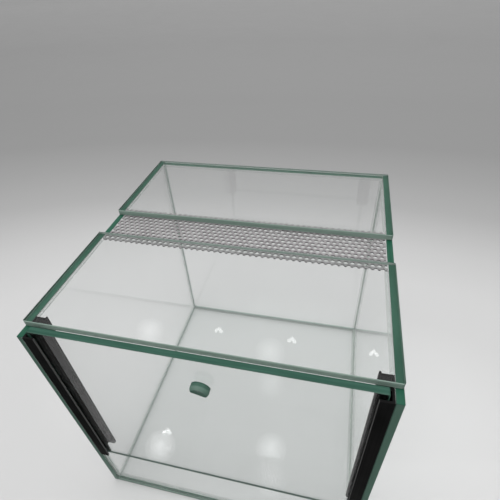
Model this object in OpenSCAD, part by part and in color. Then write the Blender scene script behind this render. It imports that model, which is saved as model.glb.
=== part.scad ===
// All-glass terrarium: seven glued float-glass panes, a perforated roof vent and a
// front pane that slides straight up in two black E-section rails.
// +X is the viewer's right, the front faces -Y, and the underside lies on Z = 0.

/* [Tank] */
// Overall width over the two side panes
tank_w = 200; // [160:1:300]
// Overall depth of the side panes, front edge to back face
tank_d = 200; // [170:1:300]
// Overall height to the top face of the roof panes
tank_h = 200; // [150:1:300]
// Thickness of every glass pane
glass_t = 4; // [3:0.5:5]
// Ground bevel along every pane edge
arris = 0.35; // [0.2:0.05:0.5]
// Corner radius of the roof panes and the door
corner_r = 1.5; // [1:0.1:3]

/* [Silicone] */
// Film of silicone between two glued faces
glue_t = 0.3; // [0.2:0.05:0.5]
// Leg of the tooled fillet inside a corner
fillet_leg = 2.6; // [2:0.1:4]
// Thickness of a fillet at its feathered edge
fillet_edge = 0.3; // [0.2:0.05:0.5]

/* [Roof] */
// Distance of the roof's front edge behind the side panes' front edges
roof_setback = 7.4; // [7.4:0.2:12]
// Depth of the front roof pane
front_roof_d = 82.6; // [60:0.2:120]
// Open slot between the two roof panes, over the vent
vent_gap = 27; // [20:1:40]

/* [Vent] */
// Sheet thickness of the vent strip
vent_t = 0.8; // [0.5:0.1:1.5]
// How far the strip laps under each roof pane
vent_lap = 5.5; // [4:0.1:8]
// Hole diameter
hole_d = 2.7; // [2:0.1:3]
// Distance between hole centres, in a row and between staggered neighbours
hole_pitch = 4; // [3.8:0.1:6]
// Sideways place of the hole pattern on the cut strip
hole_shift = 0.8; // [0:0.1:1.5]
// Play between the strip's ends and the side panes
vent_end_gap = 0.5; // [0.3:0.1:1]

/* [Front] */
// Height of the fixed front sill pane
sill_h = 51; // [30:1:80]
// Play between each end of the door and the back of its channel
door_play_x = 1.25; // [0.5:0.05:1.5]
// Distance of the door's top edge below the roof's top face
door_top_drop = 0.2; // [0:0.1:2]
// Play between the door and the front wall of its channel
door_play_y = 0.5; // [0.3:0.05:0.6]

/* [Rails] */
// Wall thickness of the rail section
rail_wall = 1.2; // [1:0.1:1.5]
// Clear width of each of the rail's two channels
rail_channel = 5; // [4.5:0.1:6]
// Reach of the rail's three flanges from its glued back
rail_reach = 7; // [6:0.5:10]
// How far the rails stand in front of the side panes
rail_proud = 0.6; // [0:0.1:1]
// How far the rails reach down over the sill's ends
rail_overlap = 3; // [2:0.5:6]
// Height of the small bead along the rear flange's tip
rail_bead = 1; // [0.6:0.1:1.2]
// Rounding of the flanges' lower corners
rail_corner_r = 1.2; // [0.6:0.1:2]

/* [Handle] */
// Radius of the half-moon door handle
handle_r = 6; // [5:0.5:9]
// Thickness of the handle's glass
handle_t = 4; // [3:0.5:6]
// Radius that softens the half-moon's two corners
handle_corner_r = 2.2; // [1:0.1:2.4]
// Bevel ground round the handle's front rim
handle_bevel = 1.6; // [0.4:0.1:2]
// Distance of the handle's flat edge below the door's top edge
handle_drop = 23.6; // [15:0.1:60]
// Sideways place of the handle from the door's middle
handle_shift = 2.4; // [-20:0.1:20]
// Slant of the hand-glued handle
handle_slant = 18; // [0:1:25]

/* [Hidden] */
$fn = 64;
in_w = tank_w - 2*glass_t;
half_in = in_w/2;
front_y = -tank_d/2;
back_y = tank_d/2;
back_in_y = back_y - glass_t;
roof_z = tank_h - glass_t;
side_h = roof_z - glue_t;
wall_z = glass_t + glue_t;

roof_y = front_y + roof_setback;
front_roof_end = roof_y + front_roof_d;
rear_roof_y = front_roof_end + vent_gap;
rear_roof_d = back_y - rear_roof_y;

vent_top = roof_z - glue_t;
vent_y = front_roof_end - vent_lap;
vent_d = vent_gap + 2*vent_lap;
vent_w = in_w - 2*vent_end_gap;
row_step = hole_pitch*sin(60);
vent_rows = 2*ceil(vent_d/row_step/2 + 0.5);
vent_cols = 2*ceil(vent_w/hole_pitch/2 + 1);

rail_d = 3*rail_wall + 2*rail_channel;
rail_y = front_y - rail_proud;
channel_y = rail_y + rail_wall;
rail_end_y = rail_y + rail_d;
rail_bottom = wall_z + sill_h - rail_overlap;
rail_h = roof_z - rail_bottom;
rail_back_x = half_in - glue_t;
channel_x = rail_back_x - rail_wall;

door_y = channel_y + door_play_y;
door_bottom = wall_z + sill_h;
door_w = 2*(channel_x - door_play_x);
door_h = tank_h - door_top_drop - door_bottom;
sill_end_gap = glue_t + rail_wall + glue_t;
sill_w = in_w - 2*sill_end_gap;
sill_back_y = door_y + glass_t;

GLASS = [0.62, 0.78, 0.72, 0.35];
SILICONE = [0.86, 0.88, 0.87, 0.6];
RAIL = [0.10, 0.10, 0.11];
VENT = [0.72, 0.72, 0.73];

// A rectangle with its four corners rounded, centred on the origin
module round_rect(w, d, r) {
    square([w - 2*r, d], center = true);
    square([w, d - 2*r], center = true);
    for (x = [-1, 1], y = [-1, 1]) {
        translate([x*(w/2 - r), y*(d/2 - r)]) circle(r);
    }
}

// Section of a pane with its four long edges bevelled, centred on w and standing on 0
module bevelled_strip(w, t) {
    polygon([
        [-w/2 + arris, 0], [w/2 - arris, 0], [w/2, arris], [w/2, t - arris],
        [w/2 - arris, t], [-w/2 + arris, t], [-w/2, t - arris], [-w/2, arris]
    ]);
}

// A flat pane of w by d lying on Z = 0, all twelve edges bevelled, corners of radius r
module pane(w, d, t, r) {
    intersection() {
        linear_extrude(t) {
            if (r > 0) round_rect(w, d, r);
            else square([w, d], center = true);
        }
        rotate([90, 0, 0]) translate([0, 0, -d/2]) linear_extrude(d) bevelled_strip(w, t);
        rotate([90, 0, 90]) translate([0, 0, -w/2]) linear_extrude(w) bevelled_strip(d, t);
    }
}

// A pane standing across the tank: w along X, h along Z, its front face on y
module cross_pane(w, h, y, z, r) {
    translate([0, y, z + h/2]) rotate([-90, 0, 0]) pane(w, h, glass_t, r);
}

// A side pane: its inner face on X = half_in, standing from the underside to the roof film
module side_pane() {
    color(GLASS)
        translate([half_in, 0, side_h/2])
            rotate([0, 90, 0]) pane(side_h, tank_d, glass_t, 0);
}

// Cove section in the corner of two panes: it fills the corner at the origin towards
// +X and +Y, and its free face is a tooled hollow
module cove() {
    difference() {
        square(fillet_leg);
        translate([fillet_leg + fillet_edge, fillet_leg + fillet_edge]) circle(fillet_leg);
    }
}

module on_left() {
    mirror([1, 0, 0]) children();
}

// ---- Glass ----

module base_pane() {
    color(GLASS) pane(in_w - 2*glue_t, tank_d, glass_t, 0);
}

module left_side_pane() {
    on_left() side_pane();
}

module right_side_pane() {
    side_pane();
}

module back_pane() {
    color(GLASS) cross_pane(in_w - 2*glue_t, side_h - wall_z, back_in_y, wall_z, 0);
}

module front_sill_pane() {
    color(GLASS) cross_pane(sill_w, sill_h, door_y, wall_z, 0);
}

module roof_pane(y, d) {
    color(GLASS) translate([0, y + d/2, roof_z]) pane(tank_w, d, glass_t, corner_r);
}

module front_roof_pane() {
    roof_pane(roof_y, front_roof_d);
}

module rear_roof_pane() {
    roof_pane(rear_roof_y, rear_roof_d);
}

module door_pane() {
    color(GLASS) cross_pane(door_w, door_h, door_y, door_bottom, corner_r);
}

// Half-moon outline with softened corners, its flat edge on Y = 0
module half_moon() {
    corner_x = sqrt(pow(handle_r - handle_corner_r, 2) - pow(handle_corner_r, 2));
    reach = handle_r/(handle_r - handle_corner_r);
    touch = [corner_x*reach, handle_corner_r*reach];
    intersection() {
        circle(handle_r);
        translate([-handle_r, touch[1]]) square([2*handle_r, handle_r]);
    }
    polygon([[-corner_x, 0], [corner_x, 0], touch, [-touch[0], touch[1]]]);
    for (x = [-corner_x, corner_x]) {
        translate([x, handle_corner_r]) circle(handle_corner_r);
    }
}

// Glued flat on the door's front face, so that its flat lower edge is a finger ledge;
// the cone grinds the bevel round its front rim
module door_handle() {
    rim_r = handle_r - handle_bevel;
    color(GLASS)
        translate([handle_shift, door_y - glue_t, tank_h - door_top_drop - handle_drop])
            rotate([90, handle_slant, 0])
                intersection() {
                    linear_extrude(handle_t) half_moon();
                    cylinder(h = handle_t, r1 = rim_r + handle_t, r2 = rim_r);
                }
}

// ---- Perforated vent ----

// One row of holes; every other row is set half a pitch aside
module hole_row(row) {
    stagger = (row % 2 == 0) ? 0 : hole_pitch/2;
    for (i = [-vent_cols/2 : vent_cols/2]) {
        translate([i*hole_pitch + hole_shift + stagger, 0]) circle(d = hole_d, $fn = 24);
    }
}

// Strip of staggered perforated sheet, cut through a row of holes along both long edges
module vent_mesh() {
    color(VENT)
        translate([0, vent_y + vent_d/2, vent_top - vent_t])
            linear_extrude(vent_t)
                difference() {
                    square([vent_w, vent_d], center = true);
                    for (row = [0 : vent_rows - 1]) {
                        translate([0, (row - (vent_rows - 1)/2)*row_step]) hole_row(row);
                    }
                }
}

// ---- Door rails ----

// One flange of the rail, standing along +X with a round tip
module flange(y) {
    translate([0, y]) square([rail_reach - rail_wall/2, rail_wall]);
    translate([rail_reach - rail_wall/2, y + rail_wall/2]) circle(d = rail_wall, $fn = 32);
}

// E section: back on X = 0, front on Y = 0, three flanges and a bead behind the rear tip
module rail_section() {
    square([rail_wall, rail_d]);
    for (i = [0 : 2]) {
        flange(i*(rail_wall + rail_channel));
    }
    translate([rail_reach - rail_wall, rail_d - rail_wall/2]) square([rail_wall, rail_bead]);
    translate([rail_reach - rail_wall/2, rail_d + rail_bead - rail_wall/2])
        circle(d = rail_wall, $fn = 32);
}

// The rail's side view, which rounds the flanges' lower corners
module rail_side() {
    square([rail_reach - rail_corner_r, rail_h]);
    translate([0, rail_corner_r]) square([rail_reach, rail_h - rail_corner_r]);
    translate([rail_reach - rail_corner_r, rail_corner_r]) circle(rail_corner_r);
}

module rail() {
    color(RAIL)
        translate([rail_back_x, rail_y, rail_bottom])
            mirror([1, 0, 0])
                intersection() {
                    linear_extrude(rail_h) rail_section();
                    translate([0, rail_d + rail_bead, 0])
                        rotate([90, 0, 0]) linear_extrude(rail_d + rail_bead) rail_side();
                }
}

module left_rail() {
    on_left() rail();
}

module right_rail() {
    rail();
}

// ---- Silicone seams ----

// Film between the base's end and a side pane, and the fillet on the base behind the sill
module base_side_seam() {
    fillet_y = sill_back_y + fillet_leg;
    color(SILICONE) {
        translate([half_in - glue_t, front_y, 0]) cube([glue_t, tank_d, glass_t]);
        translate([half_in, fillet_y, glass_t])
            rotate([90, 0, 0])
                mirror([1, 0, 0])
                    mirror([0, 0, 1])
                        linear_extrude(back_in_y - fillet_leg - fillet_y) cove();
    }
}

module base_left_seam() {
    on_left() base_side_seam();
}

module base_right_seam() {
    base_side_seam();
}

// Film under a cross pane and the fillet along its inner foot
module foot_seam(w, film_y, fillet_y, dir) {
    color(SILICONE) {
        translate([-w/2, film_y, glass_t]) cube([w, glass_t, glue_t]);
        translate([-in_w/2, fillet_y, glass_t])
            rotate([90, 0, 90])
                mirror([dir < 0 ? 1 : 0, 0, 0]) linear_extrude(in_w) cove();
    }
}

module base_back_seam() {
    foot_seam(in_w - 2*glue_t, back_in_y, back_in_y, -1);
}

module sill_seam() {
    foot_seam(sill_w, door_y, sill_back_y, 1);
}

// Silicone between a sill end and its side pane, and the upright fillet behind it
module sill_end_seam() {
    film_h = rail_bottom - glass_t;
    fillet_z = glass_t + fillet_leg;
    color(SILICONE) {
        translate([half_in - sill_end_gap, door_y, glass_t]) cube([sill_end_gap, glass_t, film_h]);
        translate([half_in, sill_back_y, fillet_z])
            mirror([1, 0, 0]) linear_extrude(rail_bottom - fillet_z) cove();
    }
}

module left_sill_seam() {
    on_left() sill_end_seam();
}

module right_sill_seam() {
    sill_end_seam();
}

// Film between the back pane's end and a side pane, and the upright fillet inside
module back_side_seam() {
    fillet_z = glass_t + fillet_leg;
    fillet_h = roof_z - fillet_leg - fillet_z;
    color(SILICONE) {
        translate([half_in - glue_t, back_in_y, glass_t])
            cube([glue_t, glass_t, side_h - glass_t]);
        translate([half_in, back_in_y, fillet_z])
            mirror([1, 0, 0]) mirror([0, 1, 0]) linear_extrude(fillet_h) cove();
    }
}

module back_left_seam() {
    on_left() back_side_seam();
}

module back_right_seam() {
    back_side_seam();
}

// Film on a side pane's top edge and the fillet under the roof pane
module roof_side_seam(film_y, film_d, fillet_y, fillet_d) {
    color(SILICONE) {
        translate([half_in, film_y, side_h]) cube([glass_t, film_d, glue_t]);
        translate([half_in, fillet_y, roof_z])
            rotate([90, 0, 0])
                mirror([1, 0, 0])
                    mirror([0, 1, 0])
                        mirror([0, 0, 1]) linear_extrude(fillet_d) cove();
    }
}

module front_roof_seam() {
    fillet_y = rail_end_y + glue_t;
    roof_side_seam(roof_y, front_roof_d, fillet_y, vent_y - glue_t - fillet_y);
}

module rear_roof_seam() {
    fillet_y = vent_y + vent_d + glue_t;
    roof_side_seam(rear_roof_y, rear_roof_d, fillet_y, back_in_y - fillet_leg - fillet_y);
}

module front_roof_left_seam() {
    on_left() front_roof_seam();
}

module front_roof_right_seam() {
    front_roof_seam();
}

module rear_roof_left_seam() {
    on_left() rear_roof_seam();
}

module rear_roof_right_seam() {
    rear_roof_seam();
}

// Film on the back pane's top edge and the fillet under the rear roof pane
module roof_back_seam() {
    color(SILICONE) {
        translate([-half_in, back_in_y, side_h]) cube([in_w, glass_t, glue_t]);
        translate([-half_in, back_in_y, roof_z])
            rotate([90, 0, 90])
                mirror([1, 0, 0]) mirror([0, 1, 0]) linear_extrude(in_w) cove();
    }
}

// Film that holds one long edge of the vent strip under a roof pane
module vent_seam(y) {
    color(SILICONE)
        translate([-vent_w/2, y, vent_top]) cube([vent_w, vent_lap, glue_t]);
}

module vent_front_seam() {
    vent_seam(vent_y);
}

module vent_rear_seam() {
    vent_seam(rear_roof_y);
}

// Film between a rail's back and the side pane
module rail_glue() {
    color(SILICONE)
        translate([rail_back_x, front_y + arris, rail_bottom])
            cube([glue_t, rail_end_y - front_y - arris, rail_h - glue_t]);
}

module left_rail_glue() {
    on_left() rail_glue();
}

module right_rail_glue() {
    rail_glue();
}

// Film behind the door handle
module handle_glue() {
    color(SILICONE)
        translate([handle_shift, door_y, tank_h - door_top_drop - handle_drop])
            rotate([90, handle_slant, 0]) linear_extrude(glue_t) half_moon();
}

base_pane();
left_side_pane();
right_side_pane();
back_pane();
front_sill_pane();
front_roof_pane();
rear_roof_pane();
vent_mesh();
left_rail();
right_rail();
door_pane();
door_handle();
base_left_seam();
base_right_seam();
base_back_seam();
sill_seam();
left_sill_seam();
right_sill_seam();
back_left_seam();
back_right_seam();
front_roof_left_seam();
front_roof_right_seam();
rear_roof_left_seam();
rear_roof_right_seam();
roof_back_seam();
vent_front_seam();
vent_rear_seam();
left_rail_glue();
right_rail_glue();
handle_glue();
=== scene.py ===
import math

import bmesh
import bpy
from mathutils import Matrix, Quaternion, Vector


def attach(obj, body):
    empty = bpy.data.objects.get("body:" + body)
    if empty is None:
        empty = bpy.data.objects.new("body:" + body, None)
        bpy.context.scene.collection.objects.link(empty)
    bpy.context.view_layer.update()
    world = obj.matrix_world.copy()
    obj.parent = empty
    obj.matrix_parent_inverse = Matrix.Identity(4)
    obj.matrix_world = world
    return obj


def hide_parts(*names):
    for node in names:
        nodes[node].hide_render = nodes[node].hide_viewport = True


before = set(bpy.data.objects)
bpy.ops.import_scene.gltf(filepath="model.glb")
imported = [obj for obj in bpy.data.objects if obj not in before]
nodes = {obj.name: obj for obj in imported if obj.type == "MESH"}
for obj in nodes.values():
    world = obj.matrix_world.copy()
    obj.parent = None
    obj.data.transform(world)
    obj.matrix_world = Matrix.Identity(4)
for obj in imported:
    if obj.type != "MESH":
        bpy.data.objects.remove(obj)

MM = 0.001
scene = bpy.context.scene
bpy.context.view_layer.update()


# ---- Camera ----
# A phone held over the right half of the tank's front, tipped down at it. The picture is
# taken as 500 pixels wide, and its wide lens makes the near roof edge run out of frame.
picture_px = 500
focal_px = 385.6
sensor_mm = 36
eye = Vector((61.4, -197.5, 357.9)) * MM
aim = Vector((-22.0, 104.3, 100.0)) * MM
camera_roll = math.radians(-3.84)
camera = bpy.data.objects.new("camera", bpy.data.cameras.new("camera"))
scene.collection.objects.link(camera)
scene.camera = camera
camera.location = eye
camera.rotation_mode = "QUATERNION"
level = (aim - eye).to_track_quat("-Z", "Y")
camera.rotation_quaternion = level @ Quaternion((0, 0, 1), camera_roll)
camera.data.sensor_width = sensor_mm
camera.data.lens = sensor_mm * focal_px / picture_px
camera.data.clip_start = 5 * MM
scene.view_settings.view_transform = "Standard"

# A line of sight may cross a dozen panes, so paths are long. Caustics would only add noise.
scene.cycles.use_denoising = True
scene.cycles.max_bounces = 32
scene.cycles.transmission_bounces = 24
scene.cycles.transparent_max_bounces = 48
scene.cycles.caustics_reflective = False
scene.cycles.caustics_refractive = False


# ---- Studio ----
# A sheet of pale satin card as the table, lit by a broad soft light and by the small
# ceiling spots whose mirror images lie as bright dots on the tank's floor. A pool of light
# is painted on the card as well.
class Wire:
    """One socket of a node tree. Sums on it add Math nodes, and add() makes any other node."""

    def __init__(self, tree, socket=None):
        self.tree = tree
        self.socket = socket

    def add(self, kind, settings=None, inputs=None, out=0):
        """A new node, whose settings are made first. Each input is a value or a wire, or a
        list of wires that all go into one socket."""
        node = self.tree.nodes.new(kind)
        for name, value in (settings or {}).items():
            if name == "stops":
                ramp = node.color_ramp.elements
                while len(ramp) < len(value):
                    ramp.new(1)
                for stop, (place, colour) in zip(ramp, value):
                    stop.position = place
                    stop.color = (*colour, 1)
            else:
                setattr(node, name, value)
        for name, value in (inputs or {}).items():
            for one in value if isinstance(value, list) else [value]:
                if isinstance(one, Wire):
                    self.tree.links.new(one.socket, node.inputs[name])
                else:
                    node.inputs[name].default_value = one
        return Wire(self.tree, node.outputs[out] if node.outputs else None)

    def sum(self, operation, *values):
        return self.add("ShaderNodeMath", {"operation": operation}, dict(enumerate(values)))

    def __add__(self, other):
        return self.sum("ADD", self, other)

    def __sub__(self, other):
        return self.sum("SUBTRACT", self, other)

    def __rsub__(self, other):
        return self.sum("SUBTRACT", other, self)

    def __mul__(self, other):
        return self.sum("MULTIPLY", self, other)

    def __truediv__(self, other):
        return self.sum("DIVIDE", self, other)

    def __rtruediv__(self, other):
        return self.sum("DIVIDE", other, self)

    def __floordiv__(self, other):
        return self.sum("FLOOR", self / other)

    def __mod__(self, other):
        return self.sum("FLOORED_MODULO", self, other)

    def __gt__(self, other):
        return self.sum("GREATER_THAN", self, other)

    def __lt__(self, other):
        return self.sum("LESS_THAN", self, other)

    def __abs__(self):
        return self.sum("ABSOLUTE", self)

    __radd__ = __add__
    __rmul__ = __mul__

    def place(self):
        """Where the shaded point lies on its own piece."""
        return self.add("ShaderNodeTexCoord", out="Object")

    def normal(self):
        """Which way the shaded point faces on its own piece."""
        return self.add("ShaderNodeTexCoord", out="Normal")

    def ray(self, kind):
        """1 for a ray of this kind, or else 0."""
        return self.add("ShaderNodeLightPath", out="Is %s Ray" % kind)

    def ramp(self, low, high, start=0.0, end=1.0):
        """Straight from start to end while this value goes from low to high."""
        return self.add("ShaderNodeMapRange", inputs={
            "Value": self, "From Min": low, "From Max": high, "To Min": start, "To Max": end
        })

    def within(self, low, high):
        """1 where this length lies between two others, in millimetres."""
        return (self > low * MM) * (self < high * MM)

    def axis(self, index):
        return self.add("ShaderNodeSeparateXYZ", inputs={0: self}, out=index)

    def point(self, y, z=0.0):
        """The point with this value as x."""
        return self.add("ShaderNodeCombineXYZ", inputs={0: self, 1: y, 2: z})

    def moved(self, direction, distance):
        """This point moved by a distance along a direction."""
        step = {0: direction, "Scale": distance}
        step = self.add("ShaderNodeVectorMath", {"operation": "SCALE"}, step)
        return self.add("ShaderNodeVectorMath", {"operation": "ADD"}, {0: self, 1: step})

    def mix(self, first, second):
        """Colour mixed from first to second by this value. Sockets 6 and 7 are the colours."""
        inputs = {0: self, 6: first, 7: second}
        return self.add("ShaderNodeMix", {"data_type": "RGBA"}, inputs, out=2)

    def blend(self, first, second):
        """Shader blended from first to second by this value."""
        return self.add("ShaderNodeMixShader", inputs={0: self, 1: first, 2: second})

    def stretched(self, scale):
        return self.add("ShaderNodeMapping", inputs={"Vector": self, "Scale": tuple(scale)})

    def noise(self, scale, detail=2.0, roughness=0.5):
        return self.add("ShaderNodeTexNoise", inputs={
            "Vector": self, "Scale": scale, "Detail": detail, "Roughness": roughness
        })

    def specks(self, scale, radius, share):
        """1 inside round specks of this radius, in a share of the cells of a loose grid."""
        grid = {"Vector": self, "Scale": scale}
        near = self.add("ShaderNodeTexVoronoi", inputs=grid, out="Distance")
        kind = self.add("ShaderNodeTexVoronoi", inputs=grid, out="Color").axis(0)
        return (near < radius * scale) * (kind < share)

    def bump(self, strength, depth):
        """The normal of a surface with this relief, whose depth is in millimetres."""
        return self.add("ShaderNodeBump", inputs={
            "Strength": strength, "Distance": depth * MM, "Height": self
        })

    def surface(self, inputs):
        return self.add("ShaderNodeBsdfPrincipled", inputs=inputs)

    def passing(self, tint):
        """A surface that lets light through unbent."""
        return self.add("ShaderNodeBsdfTransparent", inputs={"Color": tint})


def material(name):
    made = bpy.data.materials.new(name)
    made.use_nodes = True
    made.node_tree.nodes.clear()
    return made, Wire(made.node_tree)


def show(wire, kind="Material"):
    """Makes this wire the surface that its tree shows."""
    wire.add("ShaderNodeOutput" + kind, inputs={"Surface": wire})


floor_reach = 9.0
floor_gap = 0.3 * MM
floor_rim = [
    (floor_reach * math.cos(angle), floor_reach * math.sin(angle), -floor_gap)
    for angle in map(math.radians, range(0, 360, 6))
]
floor_mesh = bpy.data.meshes.new("studio_floor")
floor_mesh.from_pydata(floor_rim, [], [range(len(floor_rim))])
floor = bpy.data.objects.new("studio_floor", floor_mesh)
scene.collection.objects.link(floor)

# A pool of light is painted on the card: twice as wide as it is deep, and a little askew.
card, wire = material("floor_card")
place = wire.place()
pool = wire.add("ShaderNodeMapping", inputs={
    "Vector": place, "Location": (-0.02, 0, 0), "Rotation": (0, 0, math.radians(-8)),
    "Scale": (0.5, 1.0, 1.0)
})
away = wire.add("ShaderNodeVectorMath", {"operation": "LENGTH"}, {0: pool}, out="Value")

# How pale the painted pool of light makes the card, by the distance in metres. The last
# shades rise again: painted light that makes up for the lamp's own falling off.
painted_pool_shades = [
    (0.0, 0.66), (0.07, 0.65), (0.14, 0.58), (0.20, 0.57), (0.27, 0.51),
    (0.37, 0.38), (0.48, 0.325), (0.6, 0.285), (0.86, 0.298), (0.96, 0.31),
    (1.2, 0.33), (1.6, 0.358), (1.85, 0.388), (2.2, 0.42), (3.0, 0.48)
]
card_reach = 3.0
shade = wire.add("ShaderNodeValToRGB", {"stops": [
    (metres / card_reach, (pale,) * 3) for metres, pale in painted_pool_shades
]}, {0: away / card_reach})

# For mirror rays the card in front of the tank is painted black: a painted dark reflection
# that stands in for the unlit room the panes would mirror there.
mirrored = wire.ray("Glossy") * (1 - wire.ray("Transmission"))
painted_dark_front = place.axis(1).ramp(-0.095, -0.125)
shade = (mirrored * painted_dark_front * 0.95).mix(shade, (0.0, 0.0, 0.0, 1))
satin = place.noise(9.0, 2.0).ramp(0.3, 0.7, 0.36, 0.42)
show(wire.surface({"Base Color": shade, "Roughness": satin, "Specular IOR Level": 0.25}))
floor.data.materials.append(card)

# The room that the panes mirror is brighter overhead. What is seen past the card, and the
# soft light on the tank, are even.
backdrop = 0.31
fill = 0.80
world = bpy.data.worlds.new("studio")
scene.world = world
world.use_nodes = True
world.node_tree.nodes.clear()
wire = Wire(world.node_tree)
upward = wire.add("ShaderNodeTexCoord").axis(2)
forward = wire.add("ShaderNodeTexCoord").axis(1)
room = upward.ramp(0.1, 1.0, 0.13, 0.7) + forward.ramp(-1.0, 1.0, -0.04, 0.06)
seen = wire.ray("Camera") + wire.ray("Transmission")
strength = room + seen * (backdrop - room) + wire.ray("Diffuse") * (fill - room)
white = (1.0, 1.0, 1.0, 1)
show(wire.add("ShaderNodeBackground", inputs={"Color": white, "Strength": strength}), "World")


def lamp(name, place, size, power):
    """A round lamp, in metres and watts, that shines on the middle of the tank."""
    light = bpy.data.lights.new(name, "AREA")
    light.shape = "DISK"
    light.size = size
    light.energy = power
    made = bpy.data.objects.new(name, light)
    made.location = place
    made.rotation_mode = "QUATERNION"
    made.rotation_quaternion = (Vector((0, 0, 0.1)) - Vector(place)).to_track_quat("-Z", "Y")
    scene.collection.objects.link(made)
    return made


# Only this lamp's light is wanted, since its own image would be a white disc in the glass.
soft_key = lamp("soft_key", (-0.1, -0.25, 2.1), 1.4, 21.5)
soft_key.visible_glossy = False
soft_key.visible_transmission = False

# Each ceiling spot has three bulbs, the middle one set back. The fourth is seen through
# the door as well, and is stronger to make up for it.
ceiling = 2.3
bulb_size = 0.028
bulb_spread = 0.019
bulbs = [(-1, -0.4), (0, 0.6), (1, -0.4)]
spots = [
    (-0.687, 1.501, 0.005), (-0.146, 1.511, 0.005), (0.417, 1.508, 0.005),
    (-0.922, 0.878, 0.016)
]
for number, (x, y, power) in enumerate(spots, 1):
    for bulb, (across, back) in enumerate(bulbs, 1):
        bulb_place = (x + across * bulb_spread, y + back * bulb_spread, ceiling)
        lamp("ceiling_spot_%d_%d" % (number, bulb), bulb_place, bulb_size, power)

# Further lights are blurred to soft glows: discs of one radiance, laid over each other.
glow_sizes = (0.05, 0.1, 0.15, 0.2)
glows = [
    (-1.194, 1.396, 0.34), (-0.281, 1.382, 0.34), (-0.191, 0.906, 0.8),
    (-0.163, 0.74, 0.8), (-0.93, 0.775, 1.5)
]
for number, (x, y, radiance) in enumerate(glows, 1):
    for layer, size in enumerate(glow_sizes):
        power = radiance * math.pi * math.pi * size * size / 4
        glow_place = (x, y, ceiling + layer * MM)
        lamp("ceiling_glow_%d_%d" % (number, layer + 1), glow_place, size, power)


# ---- Glass panes ----
# Seven panes of 4 mm float glass, cut to size with every edge ground to a narrow bevel.
# The faces are clear; the ground edges gather the pane's own colour and look dark green.
clear_tint = (0.990, 0.995, 0.994, 1)
passing_tint = (0.985, 0.993, 0.990, 1)
dust_colour = (0.42, 0.42, 0.40, 1)
deep_green = (0.012, 0.082, 0.048, 1)
leaf_green = (0.026, 0.110, 0.070, 1)
sill_green = (0.070, 0.120, 0.095, 1)
grey_green = (0.110, 0.165, 0.138, 1)
light_green = (0.190, 0.270, 0.228, 1)
pale_green = (0.255, 0.335, 0.292, 1)
bevel_green = (0.270, 0.340, 0.305, 1)
# The two palest greens are partly painted light: edges that stand in silicone are made paler than
# the silicone alone would make them, and the near white one is painted light, for the edges at the
# right.
bonded_and_painted_light_green = (0.420, 0.490, 0.460, 1)
painted_light_green = (0.820, 0.860, 0.820, 1)

# Thicknesses and places are in millimetres from here on, as in the part's own drawing.
glass_t = 4.0
film_t = 0.3
bevel_t = 0.3
half_in = 96.0
half_out = 100.0
roof_z = 196.0
side_top = roof_z - film_t
sill_y = -98.9
sill_top = 55.3
slot_y = (-10.0, 17.0)


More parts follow.
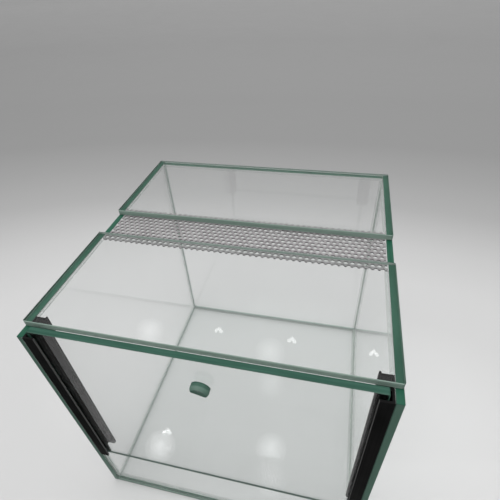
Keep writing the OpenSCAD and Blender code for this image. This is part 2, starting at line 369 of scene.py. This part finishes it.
def float_glass(name, thin, side_tones, cross_tones, bonded_and_painted_light=0.0, pale_parts=(), veil=None,
                bevelled=0.25, frosted=0.0, gloss=0.25, contact=None, strip=None):
    """Glass with clear faces across its thin axis (0, 1 or 2). Its ground edges are green,
    in side_tones where they face along X and in cross_tones elsewhere.

    bonded_and_painted_light  how pale the edges that face along X are: partly since they
            stand in silicone, partly painted light, and towards +X near white as
            painted light alone
    pale_parts  edges that are paler: their lowest and highest y and z, and how pale
    veil        y from which forwards the clear faces turn green too, and how far
    bevelled    how pale the bevels are
    frosted     how far the front face is ground as well
    gloss       shine of the ground glass
    contact     lowest and highest z of an edge that lets light through, because it lies
                on another pane's edge with nothing between
    strip       x past which, and z below which, a face is glued on another pane's edge and
                shows that edge's green"""
    made, wire = material(name)
    place = wire.place()
    normal = wire.normal()
    sideways = abs(normal.axis(0))
    # The bevels slope at 45 degrees between the clear faces and the rest of the edge.
    facing = abs(normal.axis(thin))
    edge = facing < 0.9
    bevel = (facing > 0.2) * edge

    shadow = wire.ray("Shadow")
    passing = wire.passing(passing_tint)
    clear = wire.surface({
        "Base Color": clear_tint, "Roughness": 0.0, "IOR": 1.52, "Transmission Weight": 1.0
    })
    clear = shadow.blend(wire.ray("Diffuse").blend(clear, passing), passing)
    dust = place.specks(70.0, 0.22 * MM, 0.12)
    haze = place.noise(14.0, 4.0).ramp(0.5, 0.8, 0.0, 0.012)
    film = wire.surface({"Base Color": dust_colour, "Roughness": 0.8})
    face = (dust * 0.5 + haze).blend(clear, film)

    along = [25.0, 25.0, 25.0]
    along[thin] = 700.0
    streak = place.stretched(along).noise(1.0, 4.0, 0.6).ramp(0.35, 0.65)
    green = sideways.mix(streak.mix(*cross_tones), streak.mix(*side_tones))
    # Edges that face along X take a pale colour that grows near white towards +X: partly glass in
    # silicone, partly painted light.
    bonded_and_painted_light_colour = place.axis(0).ramp(-50 * MM, 50 * MM).mix(bonded_and_painted_light_green, painted_light_green)
    green = (sideways * bonded_and_painted_light).mix(green, bonded_and_painted_light_colour)
    for low_y, high_y, low_z, high_z, share in pale_parts:
        inside = place.axis(2).within(low_z, high_z) * place.axis(1).within(low_y, high_y)
        green = (inside * share).mix(green, bonded_and_painted_light_green)
    green = (bevel * (1 - sideways) * bevelled).mix(green, bevel_green)
    cover = edge
    if strip:
        glued = (abs(place.axis(0)) > strip[0] * MM) * (place.axis(2) < strip[1] * MM)
        green = glued.mix(green, streak.mix(*side_tones))
        cover = wire.sum("MAXIMUM", cover, glued)
    if veil:
        reach, share = veil
        near_front = place.axis(1).ramp((reach + 0.5) * MM, reach * MM)
        cover = wire.sum("MAXIMUM", cover, near_front * share)
    if frosted:
        cover = wire.sum("MAXIMUM", cover, (normal.axis(thin) * -1 > 0.9) * frosted)

    scratches = place.stretched([3 * scale for scale in along]).noise(1.0, 3.0)
    ground = wire.surface({
        "Base Color": green, "Roughness": streak.ramp(0, 1, 0.3, 0.45),
        "Specular IOR Level": gloss, "Normal": scratches.bump(0.25, 0.1)
    })
    if contact:
        ground = shadow.blend(ground, place.axis(2).within(*contact).blend(ground, passing))
    show(cover.blend(face, ground))
    return made


def dress(names, made):
    """Gives these nodes a material in place of their own."""
    for name in names:
        slots = nodes[name].data.materials
        slots.clear()
        slots.append(made)


# Each box takes in one face of an edge, so it reaches past the glass by this much.
past = 1.0
rear, front = half_out + past, -half_out - past
deep = (deep_green, leaf_green)
sill = (sill_green, grey_green)
grey = (leaf_green, grey_green)
light = (light_green, pale_green)
pale = (grey_green, light_green)

rear_foot = (half_out - past, rear, -past, glass_t + past, 0.8)
dress(["base_pane"], float_glass(
    "base_glass", 2, grey, pale, bonded_and_painted_light=0.95, pale_parts=[rear_foot], veil=(sill_y, 0.5)
))
front_y = -97.5
side_front = (front, front_y, -past, side_top - bevel_t, 0.15)
side_foot = (front_y, rear, -past, 0.4, 0.5)
dress(["left_side_pane", "right_side_pane"], float_glass(
    "side_glass", 0, deep, deep, pale_parts=[side_front, side_foot], veil=(-98.0, 0.6)
))
back_foot = (half_in - past, rear, glass_t, 5.5, 0.8)
dress(["back_pane"], float_glass("back_glass", 1, deep, deep, bonded_and_painted_light=0.8, pale_parts=[back_foot]))
meeting = (sill_top - bevel_t, sill_top + bevel_t)
sill_crest = (-half_out, -94.0, sill_top - 0.5, sill_top + 0.7, 0.2)
dress(["front_sill_pane"], float_glass(
    "sill_glass", 1, sill, sill, bonded_and_painted_light=0.6, pale_parts=[sill_crest], contact=meeting
))
# The upper band of each roof pane's back edge is painted pale: painted light, where light from
# behind shows through the edge.
painted_slot_light = (slot_y[0] - past, slot_y[0] + past, roof_z + 1.3, roof_z + 2.9, 0.9)
painted_rear_light = (half_out - past, rear, roof_z + 2.4, roof_z + glass_t + past, 0.9)
dress(["front_roof_pane", "rear_roof_pane"], float_glass(
    "roof_glass", 2, deep, light, pale_parts=[painted_slot_light, painted_rear_light], strip=(half_in, roof_z + 0.05)
))


# ---- Silicone joints ----
# Clear silicone squeezed out as a thin film between the glued faces, and wiped with a
# finger to a hollow fillet inside the tank. It is slightly milky.
silicone, wire = material("clear_silicone")
place = wire.place()
milk = wire.add("ShaderNodeAttribute", {"attribute_name": "milk"}, out="Fac")
cloudy = place.noise(120.0, 3.0).ramp(0.3, 0.7, 0.07, 0.13) * milk
tone = place.noise(60.0).ramp(0.3, 0.7).mix((0.42, 0.46, 0.44, 1), (0.52, 0.55, 0.53, 1))
ripple = place.noise(350.0, 2.0).bump(0.3, 0.2)
rubber = wire.surface({"Base Color": tone, "Roughness": 0.25, "IOR": 1.41, "Normal": ripple})
show(cloudy.blend(wire.passing((0.985, 0.99, 0.987, 1)), rubber))
dress(["handle_glue"], silicone)


def node_tree(name, inputs):
    """An empty Geometry Nodes tree with these named inputs, and a wire from each of them."""
    tree = bpy.data.node_groups.new(name, "GeometryNodeTree")
    for label, kind in inputs.items():
        tree.interface.new_socket(label, in_out="INPUT", socket_type="NodeSocket" + kind)
    tree.interface.new_socket("Geometry", in_out="OUTPUT", socket_type="NodeSocketGeometry")
    wire = Wire(tree)
    return tree, wire, {label: wire.add("NodeGroupInput", out=label) for label in inputs}


def tube(wire, rings, around, caps):
    """A tube of rings with this many corners, whose points are then laid out by number."""
    spine = wire.add("GeometryNodeResampleCurve", {"mode": "COUNT"}, {
        "Curve": wire.add("GeometryNodeCurvePrimitiveLine", inputs={"End": (1.0, 0.0, 0.0)}),
        "Count": rings
    })
    hoop = wire.add("GeometryNodeCurvePrimitiveCircle", inputs={"Resolution": around})
    return wire.add("GeometryNodeCurveToMesh", inputs={
        "Curve": spine, "Profile Curve": hoop, "Fill Caps": caps
    })


def give_out(wire, shapes, finish):
    """Ends a tree: its shapes are joined, made real and given their material."""
    joined = wire.add("GeometryNodeJoinGeometry", inputs={"Geometry": shapes})
    real = wire.add("GeometryNodeRealizeInstances", inputs={"Geometry": joined})
    finished = {"Geometry": real, "Material": finish}
    finished = wire.add("GeometryNodeSetMaterial", inputs=finished)
    wire.add("NodeGroupOutput", inputs={"Geometry": finished})


def grown(name, tree, values):
    """A piece made by a node tree with these input values, turned into a plain mesh."""
    piece = bpy.data.objects.new(name, bpy.data.meshes.new(name))
    scene.collection.objects.link(piece)
    modifier = piece.modifiers.new("tree", "NODES")
    modifier.node_group = tree
    for label, value in values.items():
        modifier[tree.interface.items_tree[label].identifier] = value
    ready = piece.evaluated_get(bpy.context.evaluated_depsgraph_get())
    mesh = bpy.data.meshes.new_from_object(ready)
    piece.modifiers.remove(modifier)
    piece.data = mesh
    return piece


joint_tree, wire, given = node_tree("silicone_joint", {
    "Wiped": "Bool", "Rings": "Int", "Length": "Float", "Leg": "Float", "Foot": "Float",
    "Clearance": "Float", "Wander": "Float", "Seed": "Float", "Start": "Vector",
    "Along": "Vector", "Milk": "Float", "Across": "Vector", "Up": "Vector",
    "Film Size": "Vector", "Film Middle": "Vector"
})
# Corner 0 of each ring stands in the joint's corner, 1 and 11 end its legs along the two
# panes, and 2 to 10 lie on the hollow that the finger left.
around = 12
fillet = tube(wire, given["Rings"], around, caps=True)
number = wire.add("GeometryNodeInputIndex")
corner = number % around
run = (number // around) / (given["Rings"] - 1) * given["Length"]
leg_across = given["Leg"] + given["Wander"] * (run.point(given["Seed"]).noise(70.0) - 0.5)
leg_up = given["Leg"] + given["Wander"] * (run.point(given["Seed"], 1.0).noise(70.0) - 0.5)
near = given["Clearance"]
hollow = (corner > 1.5) * (corner < around - 1.5)
straight = 1 - hollow
first_leg = (corner > 0.5) * (corner < 1.5)
last_leg = corner > around - 1.5
turn = (corner - 2) * (math.pi / 2 / (around - 4))
across = leg_across - (leg_across - given["Foot"]) * wire.sum("SINE", turn)
across = hollow * across + straight * (near + first_leg * (leg_across - near))
up = leg_up - (leg_up - given["Foot"]) * wire.sum("COSINE", turn)
up = hollow * up + straight * (near + last_leg * (leg_up - near))
swept = given["Start"].moved(given["Along"], run)
swept = swept.moved(given["Across"], across).moved(given["Up"], up)
fillet = wire.add("GeometryNodeSetPosition", inputs={"Geometry": fillet, "Position": swept})
fillet = wire.add("GeometryNodeSetShadeSmooth", inputs={"Geometry": fillet})
fillet = wire.add("GeometryNodeStoreNamedAttribute", inputs={
    "Geometry": fillet, "Name": "milk", "Value": given["Milk"]
})
fillet = wire.add("GeometryNodeSwitch", inputs={"Switch": given["Wiped"], "True": fillet})
film = wire.add("GeometryNodeMeshCube", inputs={"Size": given["Film Size"]})
film = wire.add("GeometryNodeSetPosition", inputs={
    "Geometry": film, "Offset": given["Film Middle"]
})
film_milk = 0.2
film = wire.add("GeometryNodeStoreNamedAttribute", inputs={
    "Geometry": film, "Name": "milk", "Value": film_milk
})
give_out(wire, [fillet, film], silicone)

film_x = half_in - film_t
sill_back_y = sill_y + glass_t
sill_half = 94.2
rail_bottom = 52.3
rail_end_y = -87.0
roof_y = -92.6
vent_y = (-15.5, 22.5)
vent_half = 95.5
leg = 2.6
ring_step = 1.5
clearance = 0.04
thick_milk = 2.5


def silicone_joint(node, film, corner=None, across=None, up=None, leg=leg, foot=0.3, milk=1.0):
    """The joint of one node, in millimetres. film is the box between the glued faces, and
    corner the two ends of the wiped fillet's corner, with its legs along across and up."""
    low, high = Vector(map(min, *film)), Vector(map(max, *film))
    values = {
        "Wiped": corner is not None, "Film Middle": (low + high) / 2 * MM,
        "Film Size": (high - low - Vector((2, 2, 2)) * clearance) * MM
    }
    if corner:
        across, up = Vector(across), Vector(up)
        along = across.cross(up)
        start, end = sorted((Vector(place) for place in corner), key=along.dot)
        length = (end - start).length
        values.update({
            "Rings": int(length / ring_step) + 2, "Length": length * MM, "Leg": leg * MM,
            "Foot": foot * MM, "Milk": milk, "Clearance": clearance * MM,
            "Wander": 0.3 * leg * MM, "Seed": float(sum(map(ord, node)) % 97),
            "Start": start * MM, "Along": along, "Across": across, "Up": up
        })
    piece = grown(node.replace("_seam", "_joint").replace("_glue", "_joint"), joint_tree, values)
    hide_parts(node)
    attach(piece, "tank")


for side, x in (("left", -1), ("right", 1)):
    wall, film, inward = x * half_in, x * film_x, (-x, 0, 0)
    silicone_joint(
        "base_%s_seam" % side, ((film, -half_out, 0), (wall, half_out, glass_t)),
        ((wall, sill_back_y + leg, glass_t), (wall, half_in - leg, glass_t)),
        inward, (0, 0, 1)
    )
    silicone_joint(
        "%s_sill_seam" % side,
        ((x * sill_half, sill_y, glass_t), (wall, sill_back_y, rail_bottom)),
        ((wall, sill_back_y, glass_t + leg), (wall, sill_back_y, rail_bottom)),
        inward, (0, 1, 0)
    )
    silicone_joint(
        "back_%s_seam" % side, ((film, half_in, glass_t), (wall, half_out, side_top)),
        ((wall, half_in, glass_t + leg), (wall, half_in, roof_z - leg)),
        inward, (0, -1, 0)
    )
    silicone_joint(
        "front_roof_%s_seam" % side,
        ((wall, roof_y, side_top), (x * half_out, slot_y[0], roof_z)),
        ((wall, rail_end_y + film_t, roof_z), (wall, vent_y[0] - film_t, roof_z)),
        inward, (0, 0, -1), milk=thick_milk
    )
    silicone_joint(
        "rear_roof_%s_seam" % side,
        ((wall, slot_y[1], side_top), (x * half_out, half_out, roof_z)),
        ((wall, vent_y[1] + film_t, roof_z), (wall, half_in - leg, roof_z)),
        inward, (0, 0, -1), milk=thick_milk
    )
for node, reach, y, z, back, up in (
    ("base_back_seam", film_x, half_in, glass_t, -1, 1),
    ("sill_seam", sill_half, sill_back_y, glass_t, 1, 1),
    ("roof_back_seam", film_x, half_in, roof_z, -1, -1)
):
    silicone_joint(
        node, ((-reach, y, z), (reach, y - back * glass_t, z + up * film_t)),
        ((-half_in, y, z), (half_in, y, z)), (0, back, 0), (0, 0, up)
    )
for node, near, far in (
    ("vent_front_seam", vent_y[0], slot_y[0]), ("vent_rear_seam", slot_y[1], vent_y[1])
):
    silicone_joint(node, ((-vent_half, near, side_top), (vent_half, far, roof_z)))


# ---- Vent strip ----
# A strip of mill-finish aluminium sheet with round punched holes in staggered rows, cut
# off through the holes along both long edges and glued under the two roof panes.
sheet, wire = material("punched_aluminium")
place = wire.place()
grain = place.stretched((60.0, 900.0, 900.0)).noise(1.0, 3.0)
mill_finish = place.noise(90.0, 3.0).ramp(0.3, 0.7).mix(
    (0.30, 0.285, 0.29, 1), (0.40, 0.385, 0.39, 1)
)
# The walls of the holes are painted near black: painted shade inside the holes.
painted_shade_hole_wall = abs(wire.normal().axis(2)) < 0.6
show(wire.surface({
    "Base Color": painted_shade_hole_wall.mix(mill_finish, (0.09, 0.087, 0.09, 1)), "Metallic": 0.35,
    "Roughness": grain.ramp(0.3, 0.7, 0.34, 0.48), "Normal": grain.bump(0.2, 0.05)
}))

punched_tree, wire, given = node_tree("punched_sheet", {
    "Pitch": "Float", "Row Step": "Float", "Rows": "Int", "Columns": "Int", "Hole": "Float",
    "Rolled Rim": "Float", "Thickness": "Float", "Middle": "Vector"
})
# A cell is the six-sided piece of sheet around one hole. Its rings run from the outline
# over the top to the hole, down its wall, and back below to the outline.
around = 12
rings = 6
cell = tube(wire, rings, around, caps=False)
number = wire.add("GeometryNodeInputIndex")
ring = number // around
corner = number % around
inwards = wire.sum("MINIMUM", ring, (rings - 1) - ring)
outline = given["Pitch"] / 2 * (1 + (2 / math.sqrt(3) - 1) * (corner % 2))
rim = given["Hole"] / 2 + given["Rolled Rim"] * (2 - inwards)
radius = rim + (inwards < 0.5) * (outline - rim)
height = given["Thickness"] / 2 - given["Rolled Rim"] * (inwards > 1.5)
height = height * ((ring < 2.5) * 2 - 1)
angle = corner * (2 * math.pi / around)
spot = (radius * wire.sum("COSINE", angle)).point(radius * wire.sum("SINE", angle), height)
cell = wire.add("GeometryNodeSetPosition", inputs={"Geometry": cell, "Position": spot})
rolled = (ring > 1.5) * (ring < 2.5)
cell = wire.add("GeometryNodeSetShadeSmooth", inputs={"Geometry": cell, "Selection": rolled})
row = number // given["Columns"]
column = number % given["Columns"]
across = (column - (given["Columns"] - 1) / 2 + (row % 2) / 2) * given["Pitch"]
back = (row - (given["Rows"] - 1) / 2) * given["Row Step"]
holes = wire.add("GeometryNodePoints", inputs={
    "Count": given["Rows"] * given["Columns"], "Position": across.point(back)
})
holes = wire.add("GeometryNodeSetPosition", inputs={
    "Geometry": holes, "Offset": given["Middle"]
})
cells = wire.add("GeometryNodeInstanceOnPoints", inputs={"Points": holes, "Instance": cell})
cells = wire.add("GeometryNodeRealizeInstances", inputs={"Geometry": cells})
cells = wire.add("GeometryNodeMergeByDistance", inputs={
    "Geometry": cells, "Distance": 0.01 * MM
})
give_out(wire, [cells], sheet)

# The sheet reaches two rows and two holes past the strip on every side.
pitch = 4.0
sheet_t = 0.8
hole_shift = 0.8
vent_middle = Vector((hole_shift, sum(vent_y) / 2, side_top - sheet_t / 2))
vent_strip = grown("vent_strip", punched_tree, {
    "Pitch": pitch * MM, "Row Step": pitch * math.sin(math.radians(60)) * MM,
    "Rows": 16, "Columns": 53, "Hole": 2.7 * MM, "Rolled Rim": 0.08 * MM,
    "Thickness": sheet_t * MM, "Middle": vent_middle * MM
})
cut = bmesh.new()
cut.from_mesh(vent_strip.data)
for edge_place, outwards in (
    ((vent_half, 0, 0), (1, 0, 0)), ((-vent_half, 0, 0), (-1, 0, 0)),
    ((0, vent_y[1], 0), (0, 1, 0)), ((0, vent_y[0], 0), (0, -1, 0))
):
    whole = cut.verts[:] + cut.edges[:] + cut.faces[:]
    sawn = bmesh.ops.bisect_plane(
        cut, geom=whole, plane_co=Vector(edge_place) * MM, plane_no=outwards, clear_outer=True
    )["geom_cut"]
    sawn_edges = [part for part in sawn if isinstance(part, bmesh.types.BMEdge)]
    bmesh.ops.holes_fill(cut, edges=sawn_edges)
cut.to_mesh(vent_strip.data)
cut.free()
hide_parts("vent_mesh")
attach(vent_strip, "tank")


# ---- Door rails ----
# Two lengths of extruded black PVC, E-shaped in section, sawn off square and glued to the
# side panes. The extrusion leaves fine lines along them.
plastic, wire = material("black_extrusion")
place = wire.place()
lines = place.stretched((2500.0, 2500.0, 12.0)).noise(1.0, 2.0)
black = place.noise(40.0, 3.0).ramp(0.3, 0.7).mix(
    (0.006, 0.006, 0.006, 1), (0.013, 0.013, 0.013, 1)
)
# The round tips of the front flanges are painted lighter: a painted highlight where they
# catch the light.
tip_x = 89.05
painted_tip_highlight = (abs(place.axis(0)) < tip_x * MM) * (place.axis(1) < sill_y * MM)
show(wire.surface({
    "Base Color": (painted_tip_highlight * 0.45).mix(black, (0.16, 0.16, 0.16, 1)),
    "Roughness": lines.ramp(0.3, 0.7, 0.42, 0.55), "Specular IOR Level": 0.06,
    "Normal": lines.bump(0.15, 0.05)
}))
dress(["left_rail", "right_rail"], plastic)

# A white line of silicone stands out along the left rail only: its bead is made so milky that
# it shows white, a painted highlight where light would catch it.
glue_front_y = -99.6
for side, x in (("left", -1), ("right", 1)):
    wall, film = x * half_in, x * film_x
    silicone_joint(
        "%s_rail_glue" % side,
        ((film, glue_front_y, rail_bottom), (wall, rail_end_y, side_top)),
        ((film, -half_out, rail_bottom), (film, -half_out, side_top)) if x < 0 else None,
        (x, 0, 0), (0, -1, 0), leg=0.55, foot=0.2, milk=9.0
    )


# ---- Sliding door ----
# A pane of the same glass that runs in the rails' front channels, and the half-moon of
# glass that is glued on its face as a finger pull.
shaded_green = (0.028, 0.074, 0.054, 1)
soft_green = (0.046, 0.108, 0.082, 1)
clear_green = (0.080, 0.160, 0.122, 1)
door_tones = (shaded_green, soft_green)
handle_tones = (soft_green, clear_green)
door_foot = (-half_out, -94.0, sill_top - bevel_t, sill_top + 0.5, 0.2)
dress(["door_pane"], float_glass(
    "door_glass", 1, door_tones, door_tones, bevelled=0.1, pale_parts=[door_foot], gloss=0.0,
    contact=meeting
))
dress(["door_handle"], float_glass(
    "handle_glass", 1, handle_tones, handle_tones, bevelled=0.3, frosted=0.9
))
